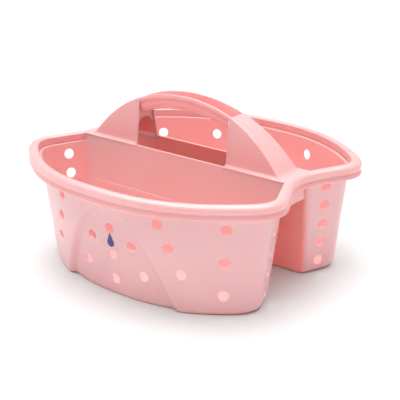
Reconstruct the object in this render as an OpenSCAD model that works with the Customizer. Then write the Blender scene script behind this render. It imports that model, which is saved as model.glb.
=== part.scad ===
// Twin-tub shower caddy: two perforated D-shaped tubs side by side, joined at the
// rim by a narrow bridge that carries an arched, hollow handle.
// X runs along the handle, Y across the two tubs, Z up. The origin is on the
// standing surface, below the middle of the caddy. Millimetres.

/* [Tubs] */
// Height of the rim's top above the standing surface
rim_z = 118.5; // [105:0.5:130]
// Half length of the bridge, between the waists of the rim's inner edge
waist_x = 132.5; // [125:0.5:138]
// Half width of the bridge, to the tubs' side of it
bridge_y = 21; // [19:0.5:23]
// Half length of a tub at its outer corners, at the rim
corner_x = 155; // [148:0.5:160]
// Distance of the outer corners from the handle's plane
corner_y = 68; // [60:0.5:76]
// Distance of the middle of the bulging long wall from the handle's plane
bulge_y = 133.5; // [125:0.5:140]
// Exponent of the bulging wall's curve: 2 is a parabola, more is squarer
bulge_power = 2.5; // [2:0.1:3]
// Wall thickness of the moulding
wall = 2; // [1.8:0.1:3]
// How far the end walls lean in from rim to floor
end_draft = 17; // [12:0.5:20]
// How far the long walls lean in from rim to floor
long_draft = 11; // [8:0.5:14]
// How far the walls along the gap lean in from rim to floor
gap_draft = 12.5; // [9:0.5:14]
// Rounding of the base below the end walls
base_round = 8; // [6:0.5:12]
// Rounding of the base below the long walls
base_edge = 2.5; // [1:0.5:4]

/* [Rim] */
// Overhang of the rolled rim outside its inner edge
rim_over = 9.7; // [8:0.1:11]
// Height of the rim's turned-down skirt
rim_drop = 13.5; // [10:0.5:15]
// Depth of the inner ledge below the rim
ledge_drop = 8.4; // [7:0.2:10]

/* [Arch panel] */
// Half width of the recessed arch on each long wall, at the floor
panel_x = 76; // [60:1:80]
// Height of the recessed arch
panel_z = 100; // [85:1:104]
// Depth of the recess
panel_d = 6; // [3:0.5:7]

/* [Drain holes] */
// Diameter of the round holes
hole_d = 10.5; // [8:0.5:12]
// Height of the lowest hole of an end wall
end_hole_z = 14; // [12:1:18]
// Spacing of the five holes up an end wall
end_hole_step = 21; // [18:0.5:21]

/* [Handle] */
// Height of the handle's top
handle_z = 177.7; // [165:0.5:190]
// Half length of the handle's arch at the bridge
foot_x = 122.8; // [115:0.5:124]
// Half width of the handle at the bridge
foot_y = 16.5; // [15:0.5:17.5]
// Half width of the handle at its top
top_y = 9.6; // [8.5:0.1:11]
// Share of the arch's curve that is fourth power, which squares its shoulders
arch_square = 0.33; // [0:0.01:0.6]
// Half length of the finger opening
grip_x = 59; // [52:0.5:62]
// Height of the band above the finger opening
band_h = 4; // [3:0.5:6]
// Outer depth of the grip trough, from the top edge of the band
trough_d = 17; // [15:0.5:19]
// Half length of the open trough, where the closed strap begins
strap_x = 61.3; // [61:0.1:63]

/* [End webs] */
// Depth of the web between the tubs below the rim
web_drop = 30.5; // [20:0.5:32]
// Distance of the web's outer face from the middle
web_x = 128; // [124:0.5:128]

/* [Label] */
// Width of the clear oval label
label_w = 34; // [26:1:36]
// Height of the clear oval label
label_h = 20; // [16:1:20]
// Height of the label's middle
label_z = 59; // [58:0.5:60]
// Thickness of the clear film
film = 0.3; // [0.2:0.05:0.5]

/* [Hidden] */

moulded = [0.93, 0.70, 0.71];
moulded_deep = [0.91, 0.58, 0.57];

// A tub's wall stands this far inside the rim's inner edge at the top
wall_gap = 0.5;
// Face of the gap wall at the rim, and where a tub's waist corner stands
gap_y = bridge_y - 2.5;
tub_waist_x = waist_x + 1.5;
// Share of the end wall's lean that the waist corner follows
waist_follow = 0.7;
// Half lengths of the straight-to-round transitions at a tub's corners
waist_round = 5.5;
corner_round = 14;
// The same on the rim: the waist's rounding, and what the overhang adds at a corner
rim_waist_round = 6;
rim_end_grow = 0.17;
// Width of the ramp along the arch panel's edge
panel_ramp = 10;
// Segments of a rounded corner, and of half of the bulging wall
corner_n = 5;
bulge_n = 16;
// Height where the inner ledge sits, and the top of the bridge's underside
ledge_z = rim_z - ledge_drop;
deck_z = rim_z - wall;
// Outset of the wall's step below the rim, its height and its rise
step_out = 0.9;
step_z = rim_z - 21;
step_rise = 1;
// Heights of a tub's rings above its rounded base
base_zs = [0, 0.8, 2.5, 5, base_round];
wall_zs = [22, 40, 58, 72, 84, 93];

// --- plan outlines -----------------------------------------------------------

function mix(a, b, t) = a + (b - a) * t;
function bezier(a, c, b, n) = [for (i = [0:n]) let (t = i / n)
    (1 - t) * (1 - t) * a + 2 * t * (1 - t) * c + t * t * b];
function mirror_x(p) = [for (i = [len(p) - 1:-1:0]) [-p[i][0], p[i][1]]];
function smooth(t) = let (c = max(0, min(1, t))) c * c * (3 - 2 * c);

// The bulging long wall: its distance from the handle's plane at x
function bulge(x, cx, cy, by) = cy + (by - cy) * (1 - pow(abs(x) / cx, bulge_power));

// Where a tub's end wall and its gap wall would meet
function waist_corner(end_in, gap_in) = [tub_waist_x - waist_follow * end_in, gap_y + gap_in];

// A tub's outline for y > 0, counter-clockwise. end_in and long_in pull the end
// and long walls in, gap_in pulls the wall along the gap in.
function tub_outline(end_in, long_in, gap_in, recess_z = -1) =
    let (a = waist_corner(end_in, gap_in),
         c = [corner_x - end_in, corner_y],
         by = bulge_y - long_in,
         u = (c - a) / norm(c - a),
         xs = c[0] - corner_round,
         p4 = [xs, bulge(xs, c[0], c[1], by)],
         right = concat(bezier(a - [waist_round, 0], a, a + u * waist_round, corner_n),
                        bezier(c - u * corner_round, c, p4, corner_n)),
         mid = [for (i = [1:2 * bulge_n - 1]) let (x = mix(xs, -xs, i / (2 * bulge_n)))
                [x, bulge(x, c[0], c[1], by) - recess(x, recess_z)]])
    concat(right, mid, mirror_x(right));

// Depth of the arch panel's recess at a place on the long wall
function recess(x, z) = z < 0 ? 0 :
    let (level = 1 - pow(x / panel_x, 2) - z / panel_z,
         slope = norm([2 * x / pow(panel_x, 2), 1 / panel_z]))
    panel_d * smooth(level / slope / panel_ramp);

// How far the walls lean in at height z, as [end_in, long_in, gap_in]
function lean(z) = let (k = (rim_z - z) / rim_z)
    [wall_gap + end_draft * k, wall_gap + long_draft * k, gap_draft * k];

// The ring of a tub's wall at height z, set in by inset (all round)
function wall_ring(z, inset, panel = true) =
    let (l = lean(z))
    [for (p = tub_outline(l[0] + inset, l[1] + inset, l[2] + inset, panel ? z : -1))
        [p[0], p[1], z]];

// The base's rounding: how far the ends and the long wall are set in at height z
function quarter(r, z) = z >= r ? 0 : r - sqrt(r * r - (r - z) * (r - z));
function base_ring(z, up, inset) =
    let (l = lean(up))
    [for (p = tub_outline(l[0] + inset + quarter(base_round, z),
                          l[1] + inset + quarter(base_edge, z),
                          l[2] + inset + quarter(base_edge, z), up)) [p[0], p[1], up]];

// The rim's inner edge round the whole caddy
rim_line =
    let (a = [waist_x, bridge_y],
         c = [corner_x, corner_y],
         u = (c - a) / norm(c - a),
         turn = a + u * rim_waist_round,
         pinch = [a[0] - bridge_y * u[0] / u[1], 0],
         xs = c[0] - corner_round,
         p4 = [xs, bulge(xs, c[0], c[1], bulge_y)],
         round_c = bezier(c - u * corner_round, c, p4, corner_n + 1),
         waist = bezier([turn[0], -turn[1]], pinch, turn, 8),
         mid = [for (i = [1:2 * bulge_n - 1]) let (x = mix(xs, -xs, i / (2 * bulge_n)))
                [x, bulge(x, c[0], c[1], bulge_y)]],
         back = concat(round_c, mid, mirror_x(round_c)),
         front = [for (p = back) [-p[0], -p[1]]])
    concat(waist, back, [for (p = waist) [-p[0], -p[1]]], front);

// The rim's outline off outside its inner edge. The rim is a little wider at the ends.
function rim_outline(off) =
    let (n = len(rim_line))
    [for (i = [0:n - 1])
        let (p = rim_line[i],
             t = rim_line[(i + 1) % n] - rim_line[(i + n - 1) % n],
             wide = 1 + rim_end_grow * pow(abs(p[0]) / corner_x, 6))
        p + [t[1], -t[0]] / norm(t) * off * wide];

// --- solids from rings ---------------------------------------------------------

// Triangles between ring i and ring j of n points each, both seen counter-clockwise
// from above, for a surface that faces outward when j is above i.
function skin(i, j, n) = [for (k = [0:n - 1]) let (m = (k + 1) % n)
    each [[i * n + k, j * n + m, i * n + m], [i * n + k, j * n + k, j * n + m]]];

// A closed solid from rings, capped at the first and the last
module loft(rings) {
    n = len(rings[0]);
    last = len(rings) - 1;
    polyhedron(points = [for (r = rings) each r],
        faces = concat([[for (k = [0:n - 1]) k]],
                       [for (i = [0:last - 1]) each skin(i, i + 1, n)],
                       [[for (k = [n - 1:-1:0]) last * n + k]]),
        convexity = 10);
}

// A closed band from rings, the last joined to the first
module band(rings) {
    n = len(rings[0]);
    m = len(rings);
    polyhedron(points = [for (r = rings) each r],
        faces = [for (i = [0:m - 1]) each skin(i, (i + 1) % m, n)],
        convexity = 10);
}

// --- tubs ------------------------------------------------------------------------

// Drain holes of a long wall as [x, z], right half and middle
side_holes = [[121, 91.5], [117.5, 57], [114, 22], [63, 93], [71, 68.5], [80.5, 42]];
panel_holes = [[26, 59], [37, 29.5]];
middle_holes = [73, 44.5, 17.5];

// An end wall's holes stand this share of the way from its waist to its corner
end_hole_share = 0.42;
// Length of the cylinders that cut the holes
cutter = 20;

// A hole through the long wall, square to it
module long_hole(x, z) {
    l = lean(z);
    cx = corner_x - l[0];
    y = bulge(x, cx, corner_y, bulge_y - l[1]);
    slope = (bulge_y - l[1] - corner_y) * bulge_power * pow(abs(x) / cx, bulge_power - 1) / cx;
    translate([x, y, z]) rotate([0, 0, -sign(x) * atan(slope)]) rotate([-90, 0, 0])
        cylinder(d = hole_d, h = cutter, center = true);
}

// A hole through the right end wall, square to it
module end_hole(z) {
    l = lean(z);
    a = waist_corner(l[0], l[2]);
    c = [corner_x - l[0], corner_y];
    p = mix(a, c, end_hole_share);
    u = c - a;
    translate([p[0], p[1], z]) rotate([0, 0, atan2(u[1], u[0]) - 90]) rotate([0, 90, 0])
        cylinder(d = hole_d, h = cutter, center = true);
}

// The flange under the rim reaches this far outside the rim's inner edge
lip_out = wall - 0.2;
// The gap wall's top stops short of the waist by this much
gap_top_short = 3;

// One tub, on the side of positive y
module tub() {
    outer = concat([for (z = base_zs) base_ring(z, z, 0)],
                   [for (z = wall_zs) wall_ring(z, 0)],
                   [wall_ring(step_z, 0), wall_ring(step_z + step_rise, -step_out),
                    wall_ring(ledge_z - wall, -step_out)]);
    lip = [for (z = [ledge_z - wall, ledge_z])
           [for (p = tub_outline(-lip_out, -lip_out, lean(z)[2])) [p[0], p[1], z]]];
    inner = concat([wall_ring(ledge_z, wall, false)],
                   [for (i = [len(wall_zs) - 1:-1:0]) wall_ring(wall_zs[i], wall)],
                   [for (z = [base_round, 5]) base_ring(z, z + wall / 2, wall)],
                   [base_ring(1.8, wall, wall + 0.6)]);
    difference() {
        union() {
            loft(concat(outer, lip, inner));
            translate([gap_top_short - waist_x, bridge_y - wall, ledge_z - wall])
                cube([2 * (waist_x - gap_top_short), wall, deck_z - ledge_z + wall]);
        }
        for (s = [-1, 1]) {
            for (h = side_holes) long_hole(s * h[0], h[1]);
            for (h = panel_holes) long_hole(s * h[0], h[1]);
        }
        for (z = middle_holes) long_hole(0, z);
        for (i = [0:4]) {
            end_hole(end_hole_z + i * end_hole_step);
            mirror([1, 0, 0]) end_hole(end_hole_z + i * end_hole_step);
        }
    }
}

module front_basket() {
    color(moulded) mirror([0, 1, 0]) tub();
}

module rear_basket() {
    color(moulded) tub();
}

// --- rim ---------------------------------------------------------------------------

// The rim's section as [distance out, height below the top], round the outside
// from the inner leg's foot, over the crest and down the skirt, then back inside.
rim_section = [[0, ledge_drop], [0, 1.2], [0.9, 0.2], [3, 0], [6.2, 0.5], [8.6, 2.2],
               [rim_over, 4.8], [rim_over - 0.3, rim_drop],
               [rim_over - wall - 0.2, rim_drop], [rim_over - wall, 5.2],
               [5.4, wall + 0.5], [wall, wall], [wall, ledge_drop]];

module rim_band() {
    color(moulded) band([for (i = [len(rim_section) - 1:-1:0]) let (s = rim_section[i])
        [for (p = rim_outline(s[0])) [p[0], p[1], rim_z - s[1]]]]);
}

// --- handle ------------------------------------------------------------------------

// Height of the handle's top edge at x
function arch_z(x) = let (u = (x / foot_x) * (x / foot_x))
    handle_z - (handle_z - rim_z) * ((1 - arch_square) * u + arch_square * u * u);
// Half width of the handle's outside at height z
function side_y(z) = mix(foot_y, top_y, (z - rim_z) / (handle_z - rim_z));

arch_n = 40;
arch_xs = [for (i = [0:arch_n]) mix(-foot_x, foot_x, i / arch_n)];

// The arch's solids are drawn from below the bridge to above the top, then cut
under_z = rim_z - 20;
over_z = handle_z + 5;

// The arch's side view, set in by inset from its top edge
module arch_profile(inset) {
    polygon(concat([for (x = arch_xs) [x * (foot_x - inset) / foot_x, arch_z(x) - inset]],
                   [[foot_x - inset, under_z], [inset - foot_x, under_z]]));
}

// The wedge between the leaning side plates, set in by inset
module side_wedge(inset) {
    low = side_y(under_z) - inset;
    high = side_y(over_z) - inset;
    rotate([90, 0, 90]) translate([0, 0, -foot_x]) linear_extrude(2 * foot_x)
        polygon([[-low, under_z], [low, under_z], [high, over_z], [-high, over_z]]);
}

module along_y(depth) {
    rotate([90, 0, 0]) linear_extrude(depth, center = true) children();
}

module arch_solid(inset) {
    intersection() {
        along_y(4 * bridge_y) arch_profile(inset);
        side_wedge(inset);
    }
}

// The finger opening's side view, from below the bridge up to the band
grip_flare = 0.6;
grip_n = 16;
module opening_profile() {
    top = [for (i = [0:grip_n]) let (x = mix(grip_x, -grip_x, i / grip_n)) [x, arch_z(x) - band_h]];
    low_x = grip_x + grip_flare;
    polygon(concat([[-low_x, under_z], [low_x, under_z], [low_x, rim_z]], top, [[-low_x, rim_z]]));
}

// The bridge's top: a frame round the finger opening and the hollow legs
module deck() {
    translate([0, 0, deck_z]) linear_extrude(wall) difference() {
        intersection() {
            square([2 * corner_x, 2 * bridge_y], center = true);
            polygon(rim_outline(0));
        }
        square([2 * (foot_x - wall), 2 * (foot_y - wall)], center = true);
        square([2 * (grip_x + grip_flare), 2 * (bridge_y - wall)], center = true);
    }
}

// The trough's mouth is cut down to here, between the bands and the finger opening
mouth_z = rim_z + 30;

module carry_handle() {
    color(moulded) union() {
        deck();
        difference() {
            arch_solid(0);
            arch_solid(wall);
            // everything below the bridge's underside
            translate([-corner_x, -bridge_y, 0]) cube([2 * corner_x, 2 * bridge_y, deck_z]);
            along_y(4 * bridge_y) opening_profile();
            // the open trough's mouth between the two bands
            translate([-strap_x, wall - top_y, mouth_z])
                cube([2 * strap_x, 2 * (top_y - wall), over_z - mouth_z]);
        }
    }
}

// The grip trough: a U section that follows the arch between the leg webs
trough_y = top_y - 0.5;
trough_r = 8.2;
trough_steps = 20;
round_n = 8;

// One side of a U of half width y, depth d and corner radius r, from its top to the other
function u_side(y, d, r) = concat([[y, 0]],
    [for (i = [0:round_n]) let (t = 90 * i / round_n) [y - r + r * cos(t), -d + r - r * sin(t)]],
    [for (i = [round_n:-1:0]) let (t = 90 * i / round_n) [-y + r - r * cos(t), -d + r - r * sin(t)]],
    [[-y, 0]]);

module grip_trough() {
    depth = trough_d - band_h;
    outer = u_side(trough_y, depth, trough_r);
    inner = u_side(trough_y - wall, depth - wall, trough_r - wall);
    section = concat(outer, [for (i = [len(inner) - 1:-1:0]) inner[i]]);
    color(moulded_deep) loft_u([for (i = [0:trough_steps])
        let (x = mix(-strap_x, strap_x, i / trough_steps), z = arch_z(x) - band_h)
        [for (p = section) [x, p[0], z + p[1]]]]);
}

// A closed solid from U sections at rising x: each section runs down the outside of
// the U and back along its inside, so its ends are capped between the two runs.
module loft_u(sections) {
    n = len(sections[0]);
    half = n / 2;
    last = len(sections) - 1;
    cap = [for (k = [0:half - 2]) each [[k, k + 1, n - 2 - k], [k, n - 2 - k, n - 1 - k]]];
    polyhedron(points = [for (s = sections) each s],
        faces = concat([for (t = cap) [t[2], t[1], t[0]]],
                       [for (i = [0:last - 1]) each [for (k = [0:n - 1]) let (m = (k + 1) % n)
                           each [[i * n + k, i * n + m, (i + 1) * n + m],
                                 [i * n + k, (i + 1) * n + m, (i + 1) * n + k]]]],
                       [for (t = cap) [for (v = t) last * n + v]]),
        convexity = 10);
}

// The web that closes a leg at the grip, with an arched opening below
leg_cut_z = 132;
leg_cut_h = 12.4;
leg_cut_edge = 0.5;
module leg_web() {
    color(moulded_deep) difference() {
        intersection() {
            arch_solid(wall);
            translate([strap_x, -bridge_y, leg_cut_z]) cube([wall, 2 * bridge_y, over_z - leg_cut_z]);
        }
        translate([strap_x - 1, 0, leg_cut_z]) rotate([0, 90, 0]) linear_extrude(wall + 2)
            scale([leg_cut_h, side_y(leg_cut_z) - wall - leg_cut_edge]) circle(r = 1, $fn = 48);
    }
}

module right_leg_web() { leg_web(); }
module left_leg_web() { mirror([1, 0, 0]) leg_web(); }

// --- end webs ------------------------------------------------------------------------

// The upright web that joins the tubs below the rim's waist
module end_web() {
    low = rim_z - web_drop;
    y_low = gap_y + lean(low)[2];
    y_high = gap_y + lean(deck_z)[2];
    color(moulded) translate([web_x - wall, 0, 0]) rotate([90, 0, 90]) linear_extrude(wall)
        polygon([[-y_low, low], [y_low, low], [y_high, deck_z], [-y_high, deck_z]]);
}

module right_end_web() { end_web(); }
module left_end_web() { mirror([1, 0, 0]) end_web(); }

// --- label -----------------------------------------------------------------------------

// Lays a flat piece on the front wall's arch panel, its back at depth 0
module on_panel() {
    l = lean(label_z);
    tilt = atan(long_draft / rim_z);
    y = bulge_y - l[1] - recess(0, label_z);
    translate([0, -y, label_z]) rotate([90 + tilt, 0, 0]) children();
}

module label_film() {
    color([0.95, 0.95, 0.97, 0.4]) on_panel()
        linear_extrude(film) scale([label_w / label_h, 1]) circle(d = label_h, $fn = 64);
}

// A plain water drop, printed on the film: its round part and its tip
drop_r = 4.4;
drop_tip = 10.6;
drop_low = 1.8;
drop_n = 28;
ink = 0.15;
module label_mark() {
    color([0.22, 0.24, 0.55]) on_panel() translate([0, -drop_low, film]) linear_extrude(ink)
        polygon(concat([[0, drop_tip]], [for (i = [0:drop_n]) let (t = 35 - 250 * i / drop_n)
            [drop_r * cos(t), drop_r * sin(t)]]));
}

front_basket();
rear_basket();
rim_band();
carry_handle();
grip_trough();
left_leg_web();
right_leg_web();
left_end_web();
right_end_web();
label_film();
label_mark();
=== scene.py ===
"""Looks of the twin-tub shower caddy: one translucent pink moulding with a clear label.

Lengths are in millimetres until a mesh is made, and the frame's metres after that.
"""
import math
from collections import namedtuple

import bpy
import numpy as np
from mathutils import Matrix, Vector
from mathutils.geometry import delaunay_2d_cdt


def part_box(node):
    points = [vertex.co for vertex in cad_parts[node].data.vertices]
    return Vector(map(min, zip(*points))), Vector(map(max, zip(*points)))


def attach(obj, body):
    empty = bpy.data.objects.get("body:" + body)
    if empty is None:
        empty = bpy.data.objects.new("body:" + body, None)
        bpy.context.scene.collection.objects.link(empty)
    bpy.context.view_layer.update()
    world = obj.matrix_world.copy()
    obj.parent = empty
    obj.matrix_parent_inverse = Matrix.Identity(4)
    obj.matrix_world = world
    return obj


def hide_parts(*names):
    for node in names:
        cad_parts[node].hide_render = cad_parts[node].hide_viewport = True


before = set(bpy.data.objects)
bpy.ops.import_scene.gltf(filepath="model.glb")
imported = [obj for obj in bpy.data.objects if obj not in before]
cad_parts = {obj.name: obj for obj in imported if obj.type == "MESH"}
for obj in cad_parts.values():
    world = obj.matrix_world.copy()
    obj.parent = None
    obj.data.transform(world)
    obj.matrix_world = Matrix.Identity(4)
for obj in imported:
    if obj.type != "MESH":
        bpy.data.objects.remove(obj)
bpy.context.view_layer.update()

MM = 0.001


def cad(node, end, axis):
    """One coordinate of a CAD node's box, in millimetres: end 0 is low and 1 is high."""
    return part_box(node)[end][axis] / MM


# --- sizes in millimetres; cad() reads those that the CAD settles -------------------------

RIM_Z = cad("rim_band", 1, 2)
HANDLE_Z = cad("carry_handle", 1, 2)
BRIDGE_Y = cad("carry_handle", 1, 1)
RIM_DROP = RIM_Z - cad("rim_band", 0, 2)
STRAP_X = cad("grip_trough", 1, 0)
WALL = cad("right_leg_web", 1, 0) - cad("right_leg_web", 0, 0)
WEB_X = cad("right_end_web", 1, 0)
WEB_Z = cad("right_end_web", 0, 2)
LEG_CUT_Z = cad("right_leg_web", 0, 2)

# the rim: its reach past its inner edge, its points round a waist and the rounding there,
# and its extra width at the ends, as a share
RIM_OVER = 9.7
WAIST_STEPS = 32
RIM_WAIST_ROUND = 6
END_GROW = 0.17

# the outline at the rim: a waist by the bridge, a corner, and a bulging long wall;
# a tub's own waist is set out a little and leans in by a share of the end wall's lean
WAIST_X = 132.5
WAIST_OUT = 1.5
WAIST_SHARE = 0.7
CORNER_X = 155.0
CORNER_Y = 68.0
BULGE_Y = cad("rim_band", 1, 1) - RIM_OVER
BULGE_POWER = 2.5
WAIST_ROUND = 5.5
CORNER_ROUND = 14.0
GAP_Y = BRIDGE_Y - 2.5

# how far each wall leans in from the rim to the base, and the base's rounded edges
WALL_GAP = 0.5
END_DRAFT = 17.0
LONG_DRAFT = 11.0
GAP_DRAFT = 12.5
BASE_ROUND = 8.0
BASE_EDGE = 2.5

# the floor's first ring of faces runs towards a line along its middle, by this share
SPINE_X = 75.0
SPINE_SHARE = 0.1

# the ledge in the rim and its reach, the deck's underside, and the rounding of edges
LEDGE_DROP = 8.4
LEDGE_Z = RIM_Z - LEDGE_DROP
LEDGE_REACH = WALL + 1.2
DECK_Z = RIM_Z - WALL
EDGE = 0.7

# steps in the walls: how far out, over what height, and from where up; and the gap wall's
# extra thickness inside, which ends at its step, with the tilt of the normals there
STEP_OUT = 0.7
STEP_H = 1.4
STEP_Z = RIM_Z - 21.0
GAP_STEP_OUT = 0.45
GAP_STEP_H = 1.2
GAP_STEP_Z = RIM_Z - 48.5
INNER_STEP = 0.9
INNER_STEP_H = 0.4
INNER_STEP_SLOPE = 4.0

# the arch panel of the long walls: half width at the base, height, depth, and its ramp
PANEL_X = 76.0
PANEL_Z = 100.0
PANEL_D = 6.0
PANEL_RAMP = 10.0

# drain holes: places (x, z) on a long wall, and heights on an end wall
HOLE_R = 5.25
HOLE_EDGE = 0.8
HOLE_SEGMENTS = 32
SIDE_HOLES = [(121, 91.5), (117.5, 57), (114, 22), (63, 93), (71, 68.5), (80.5, 42)]
PANEL_HOLES = [(26, 59), (37, 29.5)]
MIDDLE_HOLES = [(0, 73), (0, 44.5), (0, 17.5)]
END_HOLE_Z = [14 + 21 * i for i in range(5)]
END_HOLE_SHARE = 0.42

# the handle: its foot, its top, the finger opening, the bands and the trough of the grip
FOOT_X = 122.8
FOOT_Y = 16.5
FOOT_FILLET = 3.0
TOP_Y = 9.6
HANDLE_LEAN = (FOOT_Y - TOP_Y) / (HANDLE_Z - RIM_Z)
ARCH_SQUARE = 0.33
ARCH_EDGE = 1.0
ROOT = -WALL + 0.1  # the handle's plates end inside the deck, at this height over its top
GRIP_X = 59.0
BAND_H = 4.0
TROUGH_D = 17.0
TROUGH_R = 8.2
LEG_CUT_H = 12.4

# the label: the film and its height on the wall, its back sunk into the wall, and the
# print, with the drop's radius, its tip over the round part's middle, and its shift down
LABEL_SIZE = (34.0, 20.0)
LABEL_Z = 59.0
FILM = 0.3
FILM_SEGMENTS = 64
SUNK = -0.05
INK = 0.15
DROP_R = 4.4
DROP_TIP = 10.6
DROP_LOW = 1.8

# which faces take which painted copy of the pink (painted red glow or painted duller red): how
# near the middle and how upright a gap wall is, how high the base's edge is, and the places that
# the inside faces of a tub or a leg face
GAP_WALL_Y = 34.0
GAP_WALL_FACING = 0.84
BASE_EDGE_Z = 1.8
TUB_HEART_Y = 75.0
TUB_HEART_Z = 200.0
LEG_HEART_DROP = 40.0

# signs that mirror a skin to the other side of the handle, or to the left
BACK = (1, -1, 1)
LEFT = (-1, 1, 1)

# --- colours and light --------------------------------------------------------------------

# each pink's reach of red light in metres, and the two colours of its flow pattern; the four
# after the first are copies of the one pink, tinted for where their faces sit: painted duller red
# on the outside and the inside of the tubs, painted red glow (a longer red reach) on the gap
# wall's inner face, and painted deep red glow in the hollows
PINKS = {
    "pink_plastic": (0.0015, (0.995, 0.49, 0.49), (0.995, 0.52, 0.516)),
    "pink_plastic_outside_painted_dull": (0.003, (0.80, 0.53, 0.54), (0.82, 0.56, 0.565)),
    "pink_plastic_gap_painted_glow": (0.006, (0.995, 0.55, 0.54), (0.995, 0.58, 0.57)),
    "pink_plastic_inside_painted_dull": (0.003, (0.89, 0.51, 0.50), (0.91, 0.54, 0.53)),
    "pink_plastic_hollow_painted_glow": (0.006, (0.995, 0.46, 0.43), (0.995, 0.49, 0.45)),
}
OTHER_REACH = 0.001
FILM_CLEAR = (0.96, 0.88, 0.88)
FILM_HAZY = (0.98, 0.94, 0.94)
INK_DEEP = (0.045, 0.04, 0.22)
INK_PALE = (0.065, 0.06, 0.27)
FLOOR_GREY = 0.81
WORLD_LIGHT = 0.41
SUN_LIGHT = 3.8
SUN_ANGLE = 70
SUN_FROM = (-0.1, 0.04, 1.0)


# --- small helpers ------------------------------------------------------------------------

def smooth(t):
    """0 to 1 with soft ends."""
    t = np.clip(t, 0.0, 1.0)
    return t * t * (3.0 - 2.0 * t)


def unit(v):
    """Vectors scaled to length 1."""
    return v / np.maximum(np.linalg.norm(v, axis=-1, keepdims=True), 1e-9)


def bezier(a, c, b, t):
    """Points of the curve from a to b that is pulled towards c."""
    t = np.asarray(t)[..., None]
    return (1 - t) ** 2 * a + 2 * t * (1 - t) * c + t * t * b


def arc(centre, radius, start, end, segments):
    """Points of a round or oval arc in 2D, angles in degrees."""
    t = np.radians(np.linspace(start, end, segments + 1))
    return np.asarray(centre) + np.stack([np.cos(t), np.sin(t)], -1) * radius


def triangles(loops):
    """Triangles inside the first loop and outside the others, as point numbers."""
    points = [Vector(p) for loop in loops for p in loop]
    edges, start = [], 0
    for loop in loops:
        n = len(loop)
        edges += [(start + k, start + (k + 1) % n) for k in range(n)]
        start += n
    cells = delaunay_2d_cdt(points, edges, [], 0, 1e-7)
    source = [origin[0] for origin in cells[3]]
    faces = [tuple(source[v] for v in tri) for tri in cells[2]]
    flat = np.array([tuple(p) for p in points])
    centres = flat[np.array(faces)].mean(1)
    keep = inside(centres, loops[0])
    for hole in loops[1:]:
        keep &= ~inside(centres, hole)
    return [face for face, k in zip(faces, keep) if k]


def inside(points, loop):
    """Which points lie inside a closed loop."""
    a, b = np.asarray(loop), np.roll(loop, -1, 0)
    x, y = points[:, :1], points[:, 1:]
    crosses = (a[:, 1] > y) != (b[:, 1] > y)
    rise = np.where(crosses, b[:, 1] - a[:, 1], 1.0)
    at = a[:, 0] + (y - a[:, 1]) * (b[:, 0] - a[:, 0]) / rise
    return (crosses & (x < at)).sum(1) % 2 == 1


def outward(loop):
    """Normals out of the material, which lies on a loop's left, and each corner's reach.

    The reach is how far a corner moves for each mm of inset, held down at sharp corners.
    """
    sharpest = 0.7
    tangents = unit(np.roll(loop, -1, 0) - loop) + unit(loop - np.roll(loop, 1, 0))
    miter = np.stack([tangents[:, 1], -tangents[:, 0]], -1)
    return unit(miter), 2.0 / np.maximum(np.linalg.norm(miter, axis=1), sharpest)


class Skin:
    """Collects the points and faces of one mesh, with a normal for each point."""

    def __init__(self):
        self.points, self.normals, self.faces = [], [], []

    def add(self, points, normals):
        """Adds points with their normals, and returns their numbers."""
        start = len(self.points)
        self.points += list(points)
        self.normals += list(np.broadcast_to(normals, np.shape(points)))
        return np.arange(start, start + len(points))

    def strip(self, low, high, closed=True):
        """Quads between two rows that run counter-clockwise seen from outside, high above low."""
        n = len(low)
        for k in range(n if closed else n - 1):
            m = (k + 1) % n
            self.faces.append((low[k], low[m], high[m], high[k]))

    def loft(self, rows, normals, closed=True):
        """Adds rows of points and the quads between them, each row above the one before."""
        ids = [self.add(row, normal) for row, normal in zip(rows, normals)]
        for low, high in zip(ids, ids[1:]):
            self.strip(low, high, closed)
        return ids

    def slab(self, loops, place, normal, thickness, edge, segments=3):
        """A flat plate with rounded edges. place turns plane points and a depth into space."""
        fronts, backs = [], []
        origin = place(np.zeros((1, 2)), 0.0)
        for loop in loops:
            loop = np.asarray(loop, float)
            out, reach = outward(loop)
            out3 = unit(place(out, 0.0) - origin)
            rows = []
            turns = np.linspace(0, math.pi / 2, segments + 1)
            for turn, flip in [(t, 1) for t in turns] + [(t, -1) for t in turns[::-1]]:
                inset = edge * (1 - math.sin(turn))
                depth = edge * (1 - math.cos(turn))
                row = place(loop - out * (reach * inset)[:, None],
                            depth if flip > 0 else thickness - depth)
                rows.append(self.add(row, unit(math.sin(turn) * out3
                                               + flip * math.cos(turn) * normal)))
            for low, high in zip(rows, rows[1:]):
                self.strip(high, low)
            fronts.append((loop - out * (reach * edge)[:, None], rows[0]))
            backs.append(rows[-1])
        front = np.concatenate([ids for _, ids in fronts])
        back = np.concatenate(backs)
        for tri in triangles([flat for flat, _ in fronts]):
            self.faces.append(tuple(front[k] for k in tri))
            self.faces.append(tuple(back[k] for k in reversed(tri)))

    def mirrored(self, signs):
        """The same skin, scaled by 1 or -1 along each axis."""
        other = Skin()
        other.points = list(np.array(self.points) * signs)
        other.normals = list(np.array(self.normals) * signs)
        flip = np.prod(signs) < 0
        other.faces = [face[::-1] if flip else face for face in self.faces]
        return other

    def join(self, other):
        """Takes in another skin's points and faces."""
        start = len(self.points)
        self.points += other.points
        self.normals += other.normals
        self.faces += [tuple(v + start for v in face) for face in other.faces]

    def build(self, name):
        """Makes the object, in metres, with smooth shading from the points' normals."""
        mesh = bpy.data.meshes.new(name)
        verts = (np.array(self.points) * MM).tolist()
        mesh.from_pydata(verts, [], [tuple(int(v) for v in face) for face in self.faces])
        mesh.polygons.foreach_set("use_smooth", [True] * len(mesh.polygons))
        mesh.normals_split_custom_set_from_vertices(unit(np.array(self.normals)).tolist())
        obj = bpy.data.objects.new(name, mesh)
        bpy.context.scene.collection.objects.link(obj)
        return obj


# --- the tubs' wall surface ---------------------------------------------------------------

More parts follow.
